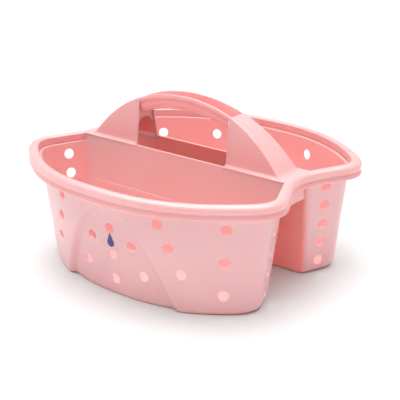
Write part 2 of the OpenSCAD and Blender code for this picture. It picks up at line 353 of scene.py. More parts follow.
def bulge(x, corner_x, long_y):
    """Distance of the bulging long wall from the handle's plane, at x."""
    return CORNER_Y + (long_y - CORNER_Y) * (1 - (np.abs(x) / corner_x) ** BULGE_POWER)


def quarter(radius, z):
    """How far a rounded base edge is set in at height z."""
    depth = np.clip(radius - z, 0.0, radius)
    return radius - np.sqrt(np.maximum(radius * radius - depth * depth, 0.0))


def lean(z):
    """How far the end, long and gap walls are pulled in at height z."""
    k = (RIM_Z - z) / RIM_Z
    end_in = WALL_GAP + END_DRAFT * k + quarter(BASE_ROUND, z)
    long_in = WALL_GAP + LONG_DRAFT * k + quarter(BASE_EDGE, z)
    gap_in = GAP_DRAFT * k + quarter(BASE_EDGE, z)
    return end_in, long_in, gap_in


def recess(x, z):
    """Depth of the parabolic arch panel on the long wall, with a ramp along its edge."""
    level = 1 - (x / PANEL_X) ** 2 - z / PANEL_Z
    slope = np.hypot(2 * x / PANEL_X ** 2, 1 / PANEL_Z)
    return PANEL_D * smooth(level / slope / PANEL_RAMP)


# The right half of a tub's outline at one height: the sharp corners at the waist and
# between the end and long walls, and the places where the walls stop and start beside them.
Outline = namedtuple("Outline", "waist corner gap_stop end_start end_stop long_start")


def outline(end_in, long_in, gap_in):
    """Half an outline whose end, long and gap walls are pulled in by these amounts."""
    zero = 0.0 * end_in
    waist = np.stack([WAIST_X + WAIST_OUT - WAIST_SHARE * end_in, GAP_Y + gap_in], -1)
    corner = np.stack([CORNER_X - end_in, CORNER_Y + zero], -1)
    along_end = unit(corner - waist)
    gap_stop = waist - np.stack([WAIST_ROUND + zero, zero], -1)
    long_x = corner[..., 0] - CORNER_ROUND
    long_start = np.stack([long_x, bulge(long_x, corner[..., 0], BULGE_Y - long_in)], -1)
    return Outline(waist, corner, gap_stop, waist + along_end * WAIST_ROUND,
                   corner - along_end * CORNER_ROUND, long_start)


def outline_at(z):
    """Half of the plain wall's outline at height z."""
    return outline(*lean(np.asarray(z, float)))


def reference_spans():
    """Lengths of the five stretches of half an outline, taken half way up."""
    middle = RIM_Z / 2
    half = outline_at(middle)
    xs = np.linspace(half.long_start[0], 0, 200)
    long_line = np.stack([xs, bulge(xs, half.corner[0], BULGE_Y - lean(middle)[1])], -1)
    ease = np.linspace(0, 1, 50)
    waist_line = bezier(half.gap_stop, half.waist, half.end_start, ease)
    corner_line = bezier(half.end_stop, half.corner, half.long_start, ease)
    length = lambda line: np.linalg.norm(np.diff(line, axis=0), axis=1).sum()
    return np.array([half.gap_stop[0], length(waist_line),
                     np.linalg.norm(half.end_stop - half.end_start),
                     length(corner_line), length(long_line)])


SPANS = reference_spans()
MARKS = np.concatenate([[0.0], np.cumsum(SPANS)])
HALF = MARKS[-1]


def wall_point(s, z, step=0.0, set_out=0.0):
    """The tub's outer wall (for y > 0) at s mm round its outline and height z.

    s runs from the middle of the gap wall, past the right end wall, to the middle
    of the long wall at HALF, and back along the left. step swells the wall below
    the rim, and set_out pushes the end and long walls out.
    """
    s, z, set_out = np.broadcast_arrays(np.asarray(s, float), np.asarray(z, float), set_out)
    left = s > HALF
    h = np.where(left, 2 * HALF - s, s)
    end_in, long_in, gap_in = lean(z)
    swell = step * smooth((z - STEP_Z) / STEP_H) + set_out
    end_in, long_in = end_in - swell, long_in - swell
    gap_in = gap_in - GAP_STEP_OUT * smooth((z - GAP_STEP_Z) / GAP_STEP_H) * (step > 0)
    half = outline(end_in, long_in, gap_in)
    share = [np.clip((h - MARKS[i]) / SPANS[i], 0, 1) for i in range(5)]
    line = lambda start, stop, k: start + (stop - start) * k[..., None]
    gap_start = np.stack([0 * h, half.gap_stop[..., 1]], -1)
    xs = half.long_start[..., 0] * (1 - share[4])
    ys = bulge(xs, half.corner[..., 0], BULGE_Y - long_in) - recess(xs, z)
    stretches = [line(gap_start, half.gap_stop, share[0]),
                 bezier(half.gap_stop, half.waist, half.end_start, share[1]),
                 line(half.end_start, half.end_stop, share[2]),
                 bezier(half.end_stop, half.corner, half.long_start, share[3])]
    xy = np.select([(h <= mark)[..., None] for mark in MARKS[1:5]], stretches,
                   np.stack([xs, ys], -1))
    return np.stack([np.where(left, -xy[..., 0], xy[..., 0]), xy[..., 1], z], -1)


def wall_frame(s, z, step=0.0):
    """The wall's point, its tangents along s and z, and its outward normal."""
    d = 0.05
    low = np.maximum(z - d, 0.0)
    along = (wall_point(s + d, z, step) - wall_point(s - d, z, step)) / (2 * d)
    up = (wall_point(s, z + d, step) - wall_point(s, low, step)) / (z + d - low)[..., None]
    return wall_point(s, z, step), along, up, unit(np.cross(along, up))


# --- drain holes --------------------------------------------------------------------------

def long_s(x, z):
    """Where x lies along the outline of the long wall, for height z."""
    return HALF - x / outline_at(z).long_start[0] * SPANS[4]


def end_s(z):
    """Where the end wall's column of holes lies along the outline, for height z."""
    half = outline_at(z)
    place = half.waist + (half.corner - half.waist) * END_HOLE_SHARE
    length = np.linalg.norm(half.end_stop - half.end_start)
    return MARKS[2] + SPANS[2] * np.linalg.norm(place - half.end_start) / length


def hole_places():
    """Places (s, z) of all the drain holes of a tub."""
    right = [(long_s(x, z), z) for x, z in SIDE_HOLES + PANEL_HOLES]
    right += [(end_s(z), z) for z in END_HOLE_Z]
    left = [(2 * HALF - s, z) for s, z in right]
    return right + left + [(long_s(x, z), z) for x, z in MIDDLE_HOLES]


def ring_shape(s, z, radius):
    """Places (s, z) on the wall of a circle of that radius round a hole."""
    _, along, up, normal = (v[0] for v in wall_frame(np.array([s]), np.array([float(z)])))
    e1 = unit(along)
    e2 = np.cross(normal, e1)
    turns = np.linspace(0, 2 * math.pi, HOLE_SEGMENTS, endpoint=False)[:, None]
    flat = radius * (np.cos(turns) * e1 + np.sin(turns) * e2)
    step = np.linalg.lstsq(np.stack([along, up], -1), flat.T, rcond=None)[0].T
    return s + step[:, 0], z + step[:, 1]


def drill(skin, cols, rows, out_ids, in_ids, cut, hs, hz):
    """Cuts a block of the wall's cells round a hole and sews the hole's rounded rim in."""
    margin = 0.7
    ring_s, ring_z = ring_shape(hs, hz, HOLE_R + HOLE_EDGE)
    j0 = np.searchsorted(cols, ring_s.min() - margin) - 1
    j1 = np.searchsorted(cols, ring_s.max() + margin)
    i0 = np.searchsorted(rows, ring_z.min() - margin) - 1
    i1 = np.searchsorted(rows, ring_z.max() + margin)
    cut[i0:i1, j0:j1] = True
    block = [(i0, j) for j in range(j0, j1)] + [(i, j1) for i in range(i0, i1)] \
        + [(i1, j) for j in range(j1, j0, -1)] + [(i, j0) for i in range(i1, i0, -1)]
    # from the outer face, round its edge, through the wall and round to the inner face
    turns = np.linspace(0, math.pi / 2, 5)
    path = [(1 - math.sin(t), 1 - math.cos(t), t) for t in turns]
    path = [(HOLE_R + HOLE_EDGE * wide, HOLE_EDGE * deep, t) for wide, deep, t in path]
    path += [(radius, WALL - depth, math.pi - t) for radius, depth, t in reversed(path)]
    centre = wall_point(np.array([hs]), np.array([float(hz)]))[0]
    rings = []
    for radius, depth, turn in path:
        p, _, _, normal = wall_frame(*ring_shape(hs, hz, radius))
        inward = centre - p
        inward = unit(inward - (inward * normal).sum(1, keepdims=True) * normal)
        rings.append(skin.add(p - depth * normal,
                              unit(math.cos(turn) * normal + math.sin(turn) * inward)))
    for low, high in zip(rings, rings[1:]):
        skin.strip(low, high)
    flat_block = [(cols[j], rows[i]) for i, j in block]
    flat_ring = list(zip(ring_s, ring_z))
    outer = [out_ids[i, j] for i, j in block] + list(rings[0])
    inner = [in_ids[i, j] for i, j in block] + list(rings[-1])
    for tri in triangles([flat_block, flat_ring]):
        skin.faces.append(tuple(outer[k] for k in tri))
        skin.faces.append(tuple(inner[k] for k in reversed(tri)))


# --- tubs ---------------------------------------------------------------------------------

def tub_grid():
    """Places round the outline, and heights, of the wall's mesh."""
    counts = (31, 9, 14, 11, 70)  # columns on each stretch of half the outline
    parts = [np.linspace(MARKS[i], MARKS[i + 1], n) for i, n in enumerate(counts)]
    # columns where the gap wall's top changes, beside the finger opening
    reach = SPANS[0] / outline_at(RIM_Z).gap_stop[0]
    parts.append((GRIP_X + np.array([1.4, 1.6, 1.8])) * reach)
    half = np.unique(np.round(np.concatenate(parts), 6))
    cols = np.concatenate([half, (2 * HALF - half[1:-1])[::-1]])
    # rows lie closer together round the base edge and at the two steps
    foot = [0.0, 0.06, 0.25, 0.6, 1.1, 1.8, 2.6]
    gap_step = GAP_STEP_Z + np.array([0.0, 0.2, 0.4, 0.8, 1.2])
    wall_step = STEP_Z + np.array([-0.3, 0.0, 0.35, 0.7, 1.05, 1.4, 1.7])
    plain = np.arange(3.6, STEP_Z - 1.0, 2.2)
    plain = plain[(plain < gap_step[0] - 0.5) | (plain > gap_step[-1] + 0.5)]
    rows = np.concatenate([foot, plain, gap_step, wall_step, [103.0, LEDGE_Z - WALL]])
    return cols, np.sort(rows)


def inner_step(s, z):
    """How much thicker the gap wall is inside, below its step, and the step's slope."""
    h = np.where(s > HALF, 2 * HALF - s, s)
    share = (z - GAP_STEP_Z) / INNER_STEP_H
    thick = INNER_STEP * (1 - smooth(share)) * (h < MARKS[1])
    slope = INNER_STEP_SLOPE * ((share > 0.1) & (share < 0.9) & (h < MARKS[1]))
    return thick.ravel()[:, None], slope.ravel()[:, None]


def build_tub():
    """A perforated tub on the side of positive y."""
    skin = Skin()
    cols, rows = tub_grid()
    n, m = len(cols), len(rows)
    s_grid, z_grid = np.meshgrid(cols, rows)
    outer, _, _, outer_n = wall_frame(s_grid.ravel(), z_grid.ravel(), STEP_OUT)
    plain, _, _, plain_n = wall_frame(s_grid.ravel(), z_grid.ravel())
    outer_n[:n] = plain_n[:n] = (0, 0, -1)
    out_ids = skin.add(outer, outer_n).reshape(m, n)
    thick, tilt = inner_step(s_grid, z_grid)
    in_ids = skin.add(plain - (WALL + thick) * plain_n,
                      unit(tilt * np.array((0.0, 0.0, 1.0)) - plain_n)).reshape(m, n)
    cut = np.zeros((m - 1, n), bool)
    for hs, hz in hole_places():
        drill(skin, cols, rows, out_ids, in_ids, cut, hs, hz)
    for i in range(m - 1):
        for j in range(n):
            if not cut[i, j]:
                k = (j + 1) % n
                up = i + 1
                skin.faces.append((out_ids[i, j], out_ids[i, k], out_ids[up, k], out_ids[up, j]))
                skin.faces.append((in_ids[i, k], in_ids[i, j], in_ids[up, j], in_ids[up, k]))
    close_base(skin, out_ids[0], in_ids[0])
    close_top(skin, cols, out_ids[-1], in_ids[-1])
    return skin


def close_base(skin, outer_ring, inner_ring):
    """The floor: its underside and its top, each flat within the wall's rounded edge."""
    for ring, up in ((outer_ring, -1), (inner_ring, 1)):
        edge = np.array([skin.points[i] for i in ring])
        spine = np.clip(edge[:, 0], -SPINE_X, SPINE_X)
        middle = np.full(len(ring), (edge[:, 1].min() + edge[:, 1].max()) / 2)
        heart = np.stack([spine, middle, edge[:, 2]], -1)
        row = skin.add(edge + (heart - edge) * SPINE_SHARE, (0, 0, up))
        if up > 0:
            skin.strip(ring, row)
        else:
            skin.strip(row, ring)
        flat = edge[:, :2] + (heart - edge)[:, :2] * SPINE_SHARE
        for tri in triangles([flat]):
            skin.faces.append(tuple(row[k] for k in tri[::up]))


def close_top(skin, cols, outer_ring, inner_ring):
    """The top edge: the ledge inside the rim, and the gap wall up to or through the bridge."""
    h = np.where(cols > HALF, 2 * HALF - cols, cols)
    sunk, blend, low_lap = 0.02, 0.3 * SPANS[1], 1.0
    away = smooth((h - MARKS[1]) / blend)
    x = np.abs(wall_point(cols, RIM_Z)[:, 0])
    # beside the leg the gap wall ends inside the deck, and in the finger opening it is free
    free_x, free_width = GRIP_X + 1.7, 0.2
    free = smooth((free_x - x) / free_width) * (1 - away)
    gap_top = RIM_Z - EDGE + (EDGE - sunk) * free
    edge = EDGE * np.maximum(free, away) + sunk
    z_low = LEDGE_Z - WALL + (gap_top - low_lap - (LEDGE_Z - WALL)) * (1 - away)
    z_high = LEDGE_Z + (gap_top - LEDGE_Z) * (1 - away)
    push = away * LEDGE_REACH
    up = np.tile((0.0, 0.0, 1.0), (len(cols), 1))
    inner, _, _, normal = wall_frame(cols, z_high)
    top = wall_point(cols, z_high, STEP_OUT, push)
    turns = np.linspace(0, math.pi / 2, 4)
    first = skin.add(wall_point(cols, z_low, STEP_OUT), normal)
    skin.strip(outer_ring, first)
    rows = [first, skin.add(wall_point(cols, z_low, STEP_OUT, push), -up),
            skin.add(wall_point(cols, z_low, STEP_OUT, push), normal)]
    for start, thickness, sign, order in ((top, 0.0, 1, turns), (inner, WALL, -1, turns[::-1])):
        for t in order:
            sink = (edge * (1 - math.sin(t)))[:, None]
            back = (thickness + sign * edge * (1 - math.cos(t)))[:, None]
            rows.append(skin.add(start - normal * back - up * sink,
                                 unit(sign * math.cos(t) * normal + math.sin(t) * up)))
    for low, high in zip(rows, rows[1:]):
        skin.strip(low, high)
    skin.strip(rows[-1], inner_ring)


# --- the rim ------------------------------------------------------------------------------

def rim_line():
    """The rim's inner edge, counter-clockwise from the right waist, with its normals."""
    waist_tip = np.array([WAIST_X, BRIDGE_Y])
    corner_tip = np.array([CORNER_X, CORNER_Y])
    along_end = unit(corner_tip - waist_tip)
    turn = waist_tip + along_end * RIM_WAIST_ROUND
    pinch = np.array([WAIST_X - BRIDGE_Y * along_end[0] / along_end[1], 0.0])
    long_x = CORNER_X - CORNER_ROUND
    end_stop = corner_tip - along_end * CORNER_ROUND
    long_start = np.array([long_x, bulge(long_x, CORNER_X, BULGE_Y)])
    waist = bezier(turn * (1, -1), pinch, turn, np.linspace(0, 1, WAIST_STEPS + 1))
    straight = turn + (end_stop - turn) * np.linspace(0, 1, 12)[1:-1, None]
    corner = bezier(end_stop, corner_tip, long_start, np.linspace(0, 1, 21))
    middle = np.linspace(long_x, -long_x, 97)[1:-1]
    long_wall = np.stack([middle, bulge(middle, CORNER_X, BULGE_Y)], -1)
    half = np.concatenate([waist, straight, corner, long_wall,
                           (corner * (-1, 1))[::-1], (straight * (-1, 1))[::-1]])
    line = np.concatenate([half, -half])
    ahead = unit(np.roll(line, -1, 0) - line)
    behind = unit(line - np.roll(line, 1, 0))
    tangent = unit(ahead + behind)
    return line, np.stack([tangent[:, 1], -tangent[:, 0]], -1)


def rim_section():
    """The rolled rim's section as (distance out, height from the rim's top), clockwise."""
    crown, rise, roll = 3.6, 0.8, 5.2
    inner_round, fillet, bead = 1.3, 0.8, WALL / 2
    inner_edge = [(0.0, -LEDGE_DROP), (0.0, -5.0), (0.0, -2.5)]
    inner_top = arc((inner_round, -inner_round), (inner_round, inner_round), 180, 100, 4)
    outer = arc((crown, rise - roll), (RIM_OVER - 0.1 - crown, roll), 90, -45, 16)
    groove = [(7.86, -8.6), (8.02, -9.2), (8.6, -10.6), (9.25, -12.0)]
    lip = arc((RIM_OVER - bead, bead - RIM_DROP), (bead, bead), 15, -180, 8)
    channel = arc((crown, rise - roll), (RIM_OVER - crown - WALL, roll - WALL), -60, 90, 12)
    inner_leg = arc((WALL + fillet, -WALL - fillet), (fillet, fillet), 90, 180, 3)
    return np.concatenate([inner_edge, inner_top, outer, groove, lip, channel, inner_leg,
                           [(WALL, -LEDGE_DROP)]])


def build_rim():
    """One section carried round the whole outline, a little wider at the ends."""
    line, normal = rim_line()
    normal = normal * (1 + END_GROW * (np.abs(line[:, :1]) / CORNER_X) ** 6)
    section = rim_section()
    rows = []
    # flush with the bridge's deck between the tubs: there the inner edge's rounding is
    # lifted to the deck's height, and the rise of the crown fades in further out
    flush_y, flush_width = BRIDGE_Y - 3.0, 3.5
    flush = 1 - smooth((np.abs(line[:, 1]) - flush_y) / flush_width)
    edge_width, edge_depth, crown_end, crown_width = 3.3, 1.4, 7.0, 3.4
    for off, height in section:
        z = np.full(len(line), RIM_Z + height)
        if off < edge_width and height > -edge_depth:
            z = z - height * flush
        elif height > 0:
            z = z - height * flush * smooth((crown_end - off) / crown_width)
        rows.append(np.column_stack([line + normal * off, z]))
    rows = np.array(rows)
    across = np.roll(rows, -1, 0) - np.roll(rows, 1, 0)
    along = np.roll(rows, -1, 1) - np.roll(rows, 1, 1)
    normals = unit(np.cross(across, along))
    skin = Skin()
    ids = [skin.add(row, n) for row, n in zip(rows, normals)]
    for low, high in zip(ids, ids[1:] + ids[:1]):
        skin.strip(high, low)
    return skin


# --- the handle ---------------------------------------------------------------------------

def arch_z(x):
    """Height of the handle's top edge at x."""
    square = (x / FOOT_X) ** 2
    fall = (1 - ARCH_SQUARE) * square + ARCH_SQUARE * square * square
    return HANDLE_Z - (HANDLE_Z - RIM_Z) * fall


def side_y(z):
    """Half width of the handle's outside at height z."""
    return FOOT_Y - HANDLE_LEAN * (z - RIM_Z)


def leg_top(x):
    """The strap's height over the deck, blended softly into the deck at its foot."""
    h = arch_z(x) - RIM_Z
    blend, dip = 4.0, 0.06
    soft = max(h, 0.0) + max(blend - abs(h), 0.0) ** 2 / (4 * blend)
    return soft - dip * float(smooth((x - FOOT_X) / 3.0))


def plate_profile(height, top_edge=True):
    """The outside of one leaning plate as (y, height over the deck), from the deck up."""
    fillet = min(FOOT_FILLET, 0.6 * max(height, 0.0))
    edge = min(ARCH_EDGE, 0.3 * max(height, 0.0)) if top_edge else 0.0
    foot = arc((FOOT_Y + fillet, fillet), (fillet, fillet), 270, 180, 5)
    foot[:, 0] -= HANDLE_LEAN * foot[:, 1]
    low, high = foot[-1, 1], height - edge
    rise = np.linspace(low, high, 8)[1:]
    line = np.stack([FOOT_Y - HANDLE_LEAN * rise, rise], -1)
    top_y = FOOT_Y - HANDLE_LEAN * height
    corner = arc((top_y - edge, height - edge), (edge, edge), 0, 90, 5)[1:]
    root = [(foot[0, 0] + 0.3, ROOT), (foot[0, 0] + 0.3, -0.06)]
    return np.concatenate([root, foot, line, corner] if top_edge else [root, foot, line])


def leg_section(x):
    """A closed section of a leg, an upturned U, as (y, height over the deck)."""
    height = leg_top(x)
    outer = plate_profile(height)
    # the top's middle, between its rounded edges; at the strap its own edge is rounded too
    across = outer[-1, 0] * np.array([0.86, 0.8, 0.4, 0.0, -0.4, -0.8, -0.86])
    top = np.stack([across, np.full(len(across), height)], -1)
    if x < STRAP_X + EDGE:
        short = 1 - (x - STRAP_X) / EDGE
        top[1:-1, 1] -= EDGE * (1 - math.sqrt(1 - short ** 2))
    scale = (FOOT_X - WALL) / FOOT_X
    ceiling = max(arch_z(x / scale) - WALL - RIM_Z, ROOT)
    radius = min(0.8, 0.3 * (ceiling - ROOT))
    y_of = lambda h: FOOT_Y - WALL - HANDLE_LEAN * h
    rise = np.linspace(ROOT, ceiling - radius, 8)
    wall = np.stack([y_of(rise), rise], -1)
    corner = arc((y_of(ceiling) - radius, ceiling - radius), (radius, radius), 0, 90, 3)[1:]
    half = np.concatenate([wall, corner])
    across = np.linspace(half[-1, 0], -half[-1, 0], 5)[1:-1]
    roof = np.stack([-across, np.full(3, ceiling)], -1)
    return np.concatenate([outer, top, (outer * (-1, 1))[::-1],
                           half * (-1, 1), roof, half[::-1]])


def section_rows(stations, section):
    """Rows in space of a section that changes along x."""
    rows = []
    for x in stations:
        loop = section(x)
        rows.append(np.column_stack([np.full(len(loop), x), loop[:, 0], RIM_Z + loop[:, 1]]))
    return np.array(rows)


def section_normals(rows):
    """Normals for rows of closed sections, square to the section and along the rows."""
    ahead = unit(np.roll(rows, -1, 1) - rows)
    behind = unit(rows - np.roll(rows, 1, 1))
    along = unit(ahead + behind)
    return unit(np.cross(along, np.gradient(rows, axis=0)))


def extrude(skin, rows, caps=(True, True)):
    """A solid from closed rows that stack along x, with flat caps."""
    normals = section_normals(rows)
    skin.loft(rows, normals)
    for row, sign, wanted in ((rows[0], -1, caps[0]), (rows[-1], 1, caps[1])):
        if not wanted:
            continue
        ids = skin.add(row, (sign, 0, 0))
        for tri in triangles([row[:, 1:]]):
            tri = tri if sign > 0 else tri[::-1]
            skin.faces.append(tuple(ids[k] for k in tri))


def build_leg():
    """The right leg, from the strap's edge at the finger opening to its foot."""
    edge = STRAP_X + EDGE * np.array([0.0, 0.06, 0.25, 0.6, 1.0])
    stations = np.concatenate([edge, np.linspace(STRAP_X + 2, FOOT_X - 6, 32),
                               np.linspace(FOOT_X - 5, FOOT_X + 3.3, 16)])
    skin = Skin()
    extrude(skin, section_rows(stations, leg_section))
    return skin


def cheek_section(x):
    """A plate's stretch beside the finger opening: a closed section on positive y."""
    edge = 0.8
    inset = edge - math.sqrt(max(edge ** 2 - max(edge - (x - GRIP_X), 0.0) ** 2, 0.0))
    height = arch_z(x) - BAND_H - RIM_Z + 0.05
    outer = plate_profile(height, top_edge=False)
    inner = np.linspace(height, ROOT, 9)
    back = np.stack([FOOT_Y - WALL - HANDLE_LEAN * inner, inner], -1)
    outer[:, 0] -= inset
    back[:, 0] += inset
    return np.concatenate([outer, back])


def build_cheek():
    """The strip of the right front plate between the opening's edge and the leg's web."""
    edge = GRIP_X + np.array([0.0, 0.04, 0.15, 0.35, 0.6, 0.8])
    stations = np.concatenate([edge, [STRAP_X]])
    skin = Skin()
    extrude(skin, section_rows(stations, cheek_section), caps=(True, False))
    return skin


def grip_section(x):
    """The grip's closed section: two bands with the trough hung between them."""
    band_y = side_y(arch_z(x))
    foot_y = band_y + HANDLE_LEAN * BAND_H
    trough_y = TOP_Y - 0.5
    bead = WALL / 2
    # the band's lower edge, its rounded top, the trough's neck and bowl, then its underside
    foot = [(foot_y - 0.5, -BAND_H - 0.1), (foot_y - 0.1, -BAND_H), (foot_y, -BAND_H + 0.3)]
    band = arc((band_y - bead, -bead), (bead, bead), 0, 180, 8)
    round_in = TROUGH_R - WALL
    inner_y, inner_z = trough_y - WALL, WALL - TROUGH_D
    neck = [(inner_y + 0.5 * (band_y - TOP_Y) + 0.3, -2.6), (inner_y, -BAND_H - 0.5)]
    bowl = arc((inner_y - round_in, inner_z + round_in), (round_in, round_in), 0, -90, 9)
    right = np.concatenate([foot, band, neck, bowl])
    belly = arc((trough_y - TROUGH_R, TROUGH_R - TROUGH_D), (TROUGH_R, TROUGH_R), -90, 0, 11)
    under = np.concatenate([belly, [(trough_y, -BAND_H - 0.4)]])
    loop = np.concatenate([right, (right * (-1, 1))[::-1], (under * (-1, 1))[::-1], under])
    loop[:, 1] += arch_z(x) - RIM_Z
    return loop


def build_grip():
    """The grip, from strap to strap."""
    stations = np.linspace(-STRAP_X, STRAP_X, 49)
    skin = Skin()
    extrude(skin, section_rows(stations, grip_section))
    return skin


def build_leg_web():
    """The bulkhead that closes the right leg, with its arched cut-out."""
    bite = 0.3
    x = STRAP_X + 0.02
    half = lambda z: side_y(z) - WALL + bite
    roof = arch_z(STRAP_X * FOOT_X / (FOOT_X - WALL)) - WALL + bite
    cut_y = side_y(LEG_CUT_Z) - WALL - 0.5
    cut = arc((0.0, LEG_CUT_Z), (cut_y, LEG_CUT_H), 180, 0, 32)
    loop = np.concatenate([[(half(LEG_CUT_Z), LEG_CUT_Z), (half(roof), roof), (-half(roof), roof),
                            (-half(LEG_CUT_Z), LEG_CUT_Z)], cut])
    # its front faces the finger opening, towards negative x
    place = lambda p, depth: np.column_stack([np.full(len(p), x + depth), -p[:, 0], p[:, 1]])
    skin = Skin()
    skin.slab([loop], place, np.array((-1.0, 0.0, 0.0)), WALL, 0.35, 2)
    return skin


def build_end_web():
    """The upright web that joins the tubs under the right waist."""
    bite_up, bite_side = 0.3, 0.4
    top = DECK_Z + bite_up
    half = lambda z: GAP_Y + float(lean(np.array(z))[2]) + bite_side
    loop = [(-half(WEB_Z), WEB_Z), (half(WEB_Z), WEB_Z), (half(top), top), (-half(top), top)]
    place = lambda p, depth: np.column_stack([np.full(len(p), WEB_X - depth), p[:, 0], p[:, 1]])
    skin = Skin()
    skin.slab([loop], place, np.array((1.0, 0, 0)), WALL, 0.7)
    return skin


def build_deck():
    """The right half of the bridge's top: a ledge on each side of the leg, and the end."""
    line, out = rim_line()
    # its end reaches under the rim's flush top by the width of its rounded edge
    waist = (line + out * EDGE)[:WAIST_STEPS + 1]
    order = np.argsort(waist[:, 1])
    end_x = np.interp(BRIDGE_Y, waist[order, 1], waist[order, 0])
    clear = 0.5
    waist = waist[np.abs(waist[:, 1]) < BRIDGE_Y - clear]
    side = np.linspace(GRIP_X, end_x, 12)
    near = np.stack([side, np.full(len(side), -BRIDGE_Y)], -1)
    # the leg's hollow is open to the finger opening, so it is a notch in the outline
    notch_x, notch_y = FOOT_X - WALL + clear, FOOT_Y - WALL + clear
    notch = [(GRIP_X, notch_y), (notch_x, notch_y), (notch_x, -notch_y), (GRIP_X, -notch_y)]
    loop = np.concatenate([near, waist, (near * (1, -1))[::-1], notch])
    place = lambda p, depth: np.column_stack([p, np.full(len(p), RIM_Z - depth)])
    skin = Skin()
    skin.slab([loop], place, np.array((0.0, 0.0, 1.0)), WALL, EDGE)
    return skin


def build_gap_end():
    """The end of the gap wall's top, which runs on past the tub's rounded corner."""
    sunk, lap, reach, low_lap = 0.02, 4.0, 0.5, 1.0
    start, end = outline_at(LEDGE_Z).gap_stop[0] - lap, WAIST_X + reach
    low, high = LEDGE_Z - low_lap, RIM_Z - EDGE
    tilt = GAP_DRAFT / RIM_Z
    face_y = lambda z: GAP_Y + WALL + tilt * (RIM_Z - z) - sunk
    place = lambda p, depth: np.column_stack([-p[:, 0], face_y(p[:, 1]) - depth, p[:, 1]])
    loop = [(-end, low), (-start, low), (-start, high), (-end, high)]
    skin = Skin()
    skin.slab([loop], place, unit(np.array((0.0, 1.0, tilt))), WALL - 2 * sunk, 0.02, 1)
    return skin


# --- label --------------------------------------------------------------------------------

def on_panel(flat, lift):
    """Points of a flat shape wrapped on the front tub's arch panel, lift mm proud of it."""
    z = LABEL_Z + flat[:, 1]
    s = HALF - flat[:, 0] / outline_at(z).long_start[:, 0] * SPANS[4]
    point, _, _, normal = wall_frame(s, z)
    return (point + normal * lift) * (1, -1, 1), normal * (1, -1, 1)


def build_film():
    """The clear oval film: its face, its rounded edge and its back."""
    skin = Skin()
    half = np.array(LABEL_SIZE) / 2
    rows = []
    oval = lambda share: arc((0, 0), half * share, 0, 360, FILM_SEGMENTS)[:-1]
    for share, lift in ((0.35, FILM), (0.7, FILM), (0.985, FILM), (1.0, FILM - 0.1), (1.0, SUNK)):
        point, normal = on_panel(oval(share), lift)
        rows.append(skin.add(point, normal))
    for low, high in zip(rows, rows[1:]):
        skin.strip(high, low)
    point, normal = on_panel(oval(0.35), SUNK)
    inner_back = skin.add(point, -normal)
    point, normal = on_panel(oval(1.0), SUNK)
    back = skin.add(point, -normal)
    skin.strip(back, inner_back)
    for ring, lift, turn in ((rows[0], FILM, 1), (inner_back, SUNK, -1)):
        point, normal = on_panel(np.zeros((1, 2)), lift)
        centre = skin.add(point, normal * turn)[0]
        for k in range(FILM_SEGMENTS):
            pair = (ring[k], ring[(k + 1) % FILM_SEGMENTS])
            skin.faces.append((centre, *pair[::turn]))
    return skin


def build_print():
    """A plain water drop on the film, round below and pointed above."""
    drop = np.concatenate([[(0.0, DROP_TIP)], arc((0, 0), (DROP_R, DROP_R), 145, 395, 30)])
    drop[:, 1] -= DROP_LOW
    skin = Skin()
    flat = triangles([drop])
    fronts = []
    for lift, turn in ((FILM + INK, 1), (FILM - 0.02, -1)):
        point, normal = on_panel(drop, lift)
        ids = skin.add(point, normal * turn)
        fronts.append(point)
        for tri in flat:
            skin.faces.append(tuple(ids[k] for k in tri[::turn]))
    out = outward(drop)[0]
    side = np.column_stack([out[:, 0], np.zeros(len(out)), out[:, 1]])
    skin.strip(skin.add(fronts[1], side), skin.add(fronts[0], side))
    return skin


# --- camera and stage ---------------------------------------------------------------------

def make_camera():
    """Looks at the caddy from front right, a little above the rim."""
    azimuth, elevation, roll = math.radians(39.98), math.radians(21.34), math.radians(-1.17)
    aim = Vector((22.05, -12.15, 72.3)) * MM
    distance = 1028.0 * MM
    back = Vector((math.sin(azimuth) * math.cos(elevation),
                   -math.cos(azimuth) * math.cos(elevation), math.sin(elevation)))
    right = Vector((math.cos(azimuth), math.sin(azimuth), 0.0))
    up = back.cross(right)
    tilted_right = right * math.cos(roll) + up * math.sin(roll)
    tilted_up = up * math.cos(roll) - right * math.sin(roll)
    lens = bpy.data.cameras.new("camera")
    lens.sensor_width = 36.0
    lens.lens = 90.17
    lens.clip_start = 0.01
    camera = bpy.data.objects.new("camera", lens)
    turn = Matrix((tilted_right, tilted_up, back)).transposed()
    camera.matrix_world = Matrix.Translation(aim + back * distance) @ turn.to_4x4()
    bpy.context.scene.collection.objects.link(camera)
    bpy.context.scene.camera = camera


def make_stage():
    """A plain pale floor, and a plain white world around it."""
    reach = 6.0
    mesh = bpy.data.meshes.new("floor")
    mesh.from_pydata([(-reach, -reach, 0), (reach, -reach, 0),
                      (reach, reach, 0), (-reach, reach, 0)], [], [(0, 1, 2, 3)])
    floor = bpy.data.objects.new("floor", mesh)
    bpy.context.scene.collection.objects.link(floor)
    mat = Nodes("white_floor")
    mat.shader.inputs["Base Color"].default_value = (FLOOR_GREY, FLOOR_GREY, FLOOR_GREY, 1)
    mat.shader.inputs["Roughness"].default_value = 0.8
    mesh.materials.append(mat.material)
    world = bpy.data.worlds.new("world")
    bpy.context.scene.world = world
    world.use_nodes = True
    background = world.node_tree.nodes["Background"]
    background.inputs["Color"].default_value = (1, 1, 1, 1)
    background.inputs["Strength"].default_value = WORLD_LIGHT


def add_sun():
    """One wide soft light from overhead."""
    sun = bpy.data.lights.new("softbox", "SUN")
    sun.energy = SUN_LIGHT
    sun.angle = math.radians(SUN_ANGLE)
    obj = bpy.data.objects.new("softbox", sun)
    obj.rotation_euler = (-Vector(SUN_FROM)).to_track_quat("-Z", "Y").to_euler()
    bpy.context.scene.collection.objects.link(obj)


# --- materials ----------------------------------------------------------------------------

